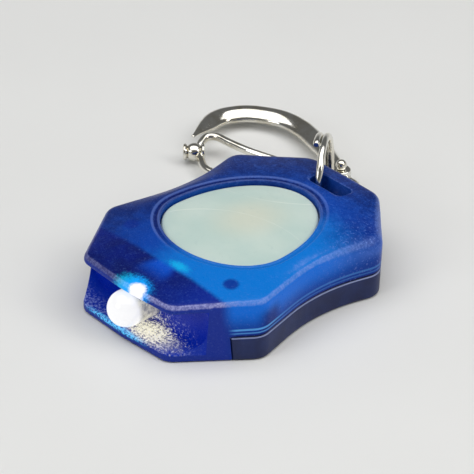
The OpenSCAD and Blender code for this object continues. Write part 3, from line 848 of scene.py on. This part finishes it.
def lower_shell(material):
    top = JOINT_Z - JOINT_GAP
    rings = side_rings(top)
    rings += [outline_ring(z / CASE_H, inset, z)
              for z, inset in ((top - 0.22, 0.0), (top - 0.08, 0.05), (top, 0.2))]
    shell = loft("lower_case", rings, material)
    bay = bay_cutter(FLOOR_Z, top + 1)
    # A ring wall round the cells stays standing in the bay, open where the LED's leads pass
    wall_in, wall_out = CELL_WALL_R
    pocket = combine(prism("pocket", circle(0, CELL_Y, wall_out, 72), 0, top),
                     [prism("pocket_hole", circle(0, CELL_Y, wall_in, 72), -1, top + 2),
                      block("lead_gap", (-4, -12.9, -1), (4, -4.9, top + 2))])
    cutters = [
        block("ahead", (-FAR_X, -FAR_Y, -1), (FAR_X, NOSE_JOINT_Y + JOINT_GAP, 6)),
        combine(bay, [pocket]),
        block("tail_notch", (-NOTCH_HALF_W, SLOT_Y[0], -1), (NOTCH_HALF_W, PAST_END, 6)),
    ]
    for x, y in SCREWS:
        cutters.append(prism("head_hole", circle(x, y, SCREW_HEAD_R), -1, SCREW_HEAD_DEPTH))
        cutters.append(prism("shank_hole", circle(x, y, SHANK_R, 24), 0, top + 1))
    combine(shell, cutters)
    soften(shell, 0.08)
    return finish_piece(shell, "case", ("lower_shell",))


def led_collar(material):
    """The raised moulded ring round the LED on the mouth's back wall."""
    profile = [(0, 2.56), (-0.45, 2.56), (-0.58, 2.66), (-0.6, 2.82), (-0.5, 3.0), (-0.3, 3.06),
               (0, 3.06)]
    collar = lathe("led_collar", profile, (LED_X, BULKHEAD_Y, LED_Z), (0, 1, 0), material, 64, True)
    return finish_piece(collar, "case")


def push_button(material):
    """A hollow domed cap with a flange that keeps it in and a plunger over the leaf."""
    edge_z, top_z = CASE_H, button_high[2]
    flange, flange_low, flange_high = 0.8, 6.3, 7.25
    rings = [egg_ring(flange, flange_low), egg_ring(flange, flange_high),
             egg_ring(0.0, flange_high),
             egg_ring(0.0, edge_z - 0.32), egg_ring(-0.05, edge_z - 0.16),
             egg_ring(-0.16, edge_z - 0.03)]
    dome = top_z - edge_z
    for s in (0.965, 0.93, 0.87, 0.78, 0.66, 0.52, 0.38, 0.24, 0.12, 0.03):
        rings.append(egg_ring(0.0, edge_z + dome * (1 - s * s), s))
    button = loft("button_cap", rings, material)
    inside = [(x, y) for x, y, _ in egg_ring(-BUTTON_WALL, 0)]
    combine(button, [prism("hollow", inside, 5, edge_z - BUTTON_WALL)])
    plunger = prism("plunger", circle(0, CELL_Y, PLUNGER_R), button_low[2],
                    edge_z - BUTTON_WALL / 2)
    combine(button, [plunger], "UNION")
    return finish_piece(button, "button", ("push_button",))


def spring_leaf(material):
    """The copper strip whose arched middle the button's plunger presses flat."""
    low, high = box_mm("switch_leaf")
    rise = high[2] - low[2] - LEAF_T
    path = []
    for k in range(61):
        y = low[1] + (high[1] - low[1]) * k / 60
        part = max(0.0, 1 - ((y - CELL_Y) / LEAF_ARCH) ** 2)
        path.append(Vector((0, y, low[2] + LEAF_T / 2 + rise * part)))
    half, edge = high[0], LEAF_EDGE
    section = [(half, -edge), (half, edge), (half - edge, LEAF_T / 2), (edge - half, LEAF_T / 2),
               (-half, edge), (-half, -edge), (edge - half, -LEAF_T / 2),
               (half - edge, -LEAF_T / 2)]
    leaf = sweep("spring_leaf", path, (0, 0, 1), lambda s: section, material)
    finish_piece(leaf, "case", ("switch_leaf",))
    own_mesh(leaf)


# ---------------------------------------------------------------- ring and clip

def smooth_path(points, steps):
    """A Catmull-Rom curve through points."""
    points = [Vector(p) for p in points]
    last = len(points) - 1
    path = []
    for i in range(last):
        a, b = points[max(i - 1, 0)], points[i]
        c, d = points[i + 1], points[min(i + 2, last)]
        for k in range(steps):
            t = k / steps
            path.append((2 * b + (c - a) * t + (2 * a - 5 * b + 4 * c - d) * t * t
                         + (3 * b - a - 3 * c + d) * t ** 3) / 2)
    return path + [points[last]]


def sweep(name, path, up, section, material):
    """A solid whose section(s) is given as points across and along up, s from 0 to 1."""
    last = len(path) - 1
    rings = []
    for i, point in enumerate(path):
        along = (path[min(i + 1, last)] - path[max(i - 1, 0)]).normalized()
        across = along.cross(Vector(up)).normalized()
        rise = across.cross(along)
        rings.append([tuple(point + across * u + rise * v) for u, v in section(i / last)])
    return loft(name, rings, material)


def wire_section(diameter, length, sides=20, end=0.35):
    """A round section that narrows a little at both ends, like cut and tumbled wire."""
    def section(s):
        from_end = min(s, 1 - s) * length
        shrink = min(1.0, 0.72 + 0.28 * from_end / end)
        return [(diameter / 2 * shrink * math.cos(TURN * k / sides),
                 diameter / 2 * shrink * math.sin(TURN * k / sides)) for k in range(sides)]
    return section


def path_length(path):
    return sum((b - a).length for a, b in zip(path, path[1:]))


def split_ring(material):
    mean_r = (ring_high[2] - ring_low[2] - RING_WIRE) / 2
    centre = Vector((RING_X, RING_Y, (ring_low[2] + ring_high[2]) / 2))
    back = Vector((-math.sin(RING_YAW), math.cos(RING_YAW), 0))
    side = Vector((math.cos(RING_YAW), math.sin(RING_YAW), 0))
    pitch = RING_WIRE + 0.02
    start, steps = math.radians(99), 220
    path = []
    for i in range(steps + 1):
        s = i / steps
        a = start - TURN * RING_TURNS * s
        path.append(centre + back * mean_r * math.cos(a) + Vector((0, 0, mean_r * math.sin(a)))
                    + side * pitch * RING_TURNS * (s - 0.5))
    ring = sweep("ring_coil", path, side, wire_section(RING_WIRE, path_length(path)), material)
    return finish_piece(ring, "ring", ("split_ring",), 50)


PIVOT = (-7.8, 26.3)
LOOP_PATH = [
    (-8.6, 25.7, 1.45), (-12.3, 23.8, 1.9), (-16.4, 22.0, 2.3), (-20.3, 20.7, 2.5),
    (-23.9, 20.2, 2.5), (-26.3, 20.0, 2.5), (-27.4, 19.0, 2.4), (-27.0, 17.4, 2.1),
    (-26.2, 16.2, 1.7), (-24.7, 15.3, 1.6), (-21.8, 14.1, 1.5), (-17.0, 15.1, 1.6),
    (-12.0, 17.7, 1.8), (-8.4, 19.9, 2.0), (-5.4, 21.2, 2.2), (-3.9, 22.6, 2.1),
    (-3.7, 24.6, 1.9), (-4.9, 26.4, 1.6), (-6.9, 26.7, 1.45)
]
BOW_PATH = [
    (-28.7, 17.5, 2.6), (-29.5, 19.5, 2.5), (-30.2, 21.5, 2.4), (-30.8, 23.7, 2.3),
    (-30.5, 25.9, 2.25), (-28.6, 28.6, 2.25), (-24.7, 30.8, 2.25), (-20.5, 31.0, 2.25),
    (-16.4, 29.9, 2.35), (-12.1, 28.2, 2.6), (-8.8, 26.9, 2.85)
]


def eye(name, low, high):
    """A flat washer with rounded edges round the clip's pivot."""
    profile = [(low, 1.2), (low + 0.06, 1.3), (low + 0.18, 1.35), (high - 0.18, 1.35),
               (high - 0.06, 1.3), (high, 1.2)]
    return lathe(name, profile, PIVOT + (0,), (0, 0, 1))


def pivot_bore():
    return prism("bore", circle(*PIVOT, RIVET_HOLE_R, 32), 0, 6)


def clip_loop(material):
    path = smooth_path(LOOP_PATH, 12)
    loop = sweep("clip_wire", path, (0, 0, 1), wire_section(LOOP_WIRE, path_length(path)),
                 material)
    combine(loop, [eye("loop_eye", 1.1, 2.05)], "UNION")
    combine(loop, [pivot_bore()])
    return finish_piece(loop, "clip", ("clip_loop",), 50)


def bow_section(s):
    """Rounded above and sloping inwards, flat below the seam, and slim at both ends."""
    fullness = min(1, 0.2 + 2.7 * s, 0.5 + 2 * (1 - s))
    fullness = max(fullness * fullness * (3 - 2 * fullness), 0.2) * min(1, 0.55 + 60 * s)
    half, thick = 1.5 * fullness, 2.0 * fullness
    seam = -0.3 * thick
    arc = [TURN / 2 * k / 16 for k in range(17)]
    top = [(half * math.cos(a), seam + 0.585 * thick * math.sin(a) * (1 - 0.35 * math.cos(a)))
           for a in arc]
    under = [(-half * 0.97, seam - 0.06 * thick), (-half * 0.72, seam - 0.27 * thick),
             (0, seam - 0.34 * thick), (half * 0.66, seam - 0.33 * thick),
             (half * 0.9, seam - 0.16 * thick), (half * 0.955, seam - 0.03 * thick)]
    return top + under


def clip_bow(material):
    bow = sweep("clip_arch", smooth_path(BOW_PATH, 14), (0, 0, 1), bow_section, material)
    combine(bow, [eye("bow_eye", 2.1, 3.0)], "UNION")
    combine(bow, [pivot_bore()])
    return finish_piece(bow, "bow", ("clip_bow",), 30)


def clip_barrel(material):
    """A ball between two grooved collars, threaded on the wire."""
    profile = [(-1.5, 0.7), (-1.53, 0.96), (-1.43, 1.14), (-1.2, 1.19), (-1.02, 1.08),
               (-0.96, 0.84), (-0.88, 0.9)]
    ball_r = 1.3
    profile += [(ball_r * math.sin(math.radians(a)), ball_r * math.cos(math.radians(a)))
                for a in range(-40, 41, 8)]
    profile += [(-along, radius) for along, radius in profile[6::-1]]
    barrel_low, barrel_high = box_mm("clip_barrel")
    centre = [(low + high) / 2 for low, high in zip(barrel_low, barrel_high)]
    along_wire = (math.cos(BARREL_YAW), math.sin(BARREL_YAW), 0)
    barrel = lathe("clip_sleeve", profile, centre, along_wire, material)
    return finish_piece(barrel, "clip", ("clip_barrel",), 40)


def clip_rivet(material):
    """A flat foot, a shank through both eyes and a ball head."""
    low, high = box_mm("clip_rivet")
    foot_z, ball_z, shank_r = low[2], high[2] - BALL_R, 0.5
    profile = [(foot_z, 0.6), (foot_z + 0.08, 0.8), (foot_z + 0.2, 0.85), (foot_z + 0.45, 0.85),
               (foot_z + 0.45, shank_r), (ball_z - 0.62, shank_r)]
    profile += [(ball_z + BALL_R * math.sin(math.radians(a)), BALL_R * math.cos(math.radians(a)))
                for a in range(-50, 90, 7)]
    rivet = lathe("clip_pin", profile, PIVOT + (0,), (0, 0, 1), material)
    return finish_piece(rivet, "clip", ("clip_rivet",), 40)


# ---------------------------------------------------------------- build

def paint_frame():
    """Gives every CAD node that still shows its own material."""
    steel = plated_metal("cell_steel", srgb(196, 198, 202), srgb(150, 152, 158), 0.22)
    copper = plated_metal("contact_copper", srgb(206, 150, 96), srgb(150, 98, 60), 0.2)
    lead = plated_metal("lead_metal", srgb(200, 200, 198), srgb(150, 150, 150), 0.15)
    gold = plated_metal("die_gold", srgb(230, 196, 96), srgb(190, 150, 60), 0.2)
    screw = plated_metal("screw_steel", srgb(120, 122, 128), srgb(70, 72, 78), 0.3)
    film = moulded("insulator", srgb(196, 180, 130), srgb(176, 158, 108), 0.3)
    seal = moulded("cell_gasket", srgb(36, 36, 40), srgb(24, 24, 28), 0.5)
    paints = {"led_lens": lens_epoxy(), "base_contact": copper,
              "contact_spacer": film, "led_cathode": lead, "led_anode": lead, "led_die": gold,
              "led_bond_wire": gold, "screw_left": screw, "screw_right": screw}
    for level in ("lower", "upper"):
        paints[f"cell_{level}_can"] = steel
        paints[f"cell_{level}_cap"] = steel
        paints[f"cell_{level}_gasket"] = seal
    for node, material in paints.items():
        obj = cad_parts[node]
        if not obj.material_slots:
            obj.data.materials.append(material)
        for slot in obj.material_slots:
            slot.material = material
    return copper


def make_floor():
    half = FLOOR_HALF_W / MM
    floor = new_object("floor", [(-half, -half, 0), (half, -half, 0), (half, half, 0),
                                 (-half, half, 0)], [(0, 1, 2, 3)], floor_surface())
    floor.data.transform(TO_METRES)
    floor.location.z = FLOOR_DROP


make_camera()
make_studio()
make_floor()
copper = paint_frame()
blue = blue_plastic()
nickel = nickel_plate()
upper_shell(blue)
led_collar(blue)
lower_shell(navy_plastic())
push_button(button_plastic())
spring_leaf(copper)
split_ring(nickel)
clip_loop(nickel)
clip_barrel(nickel)
clip_bow(nickel)
clip_rivet(nickel)
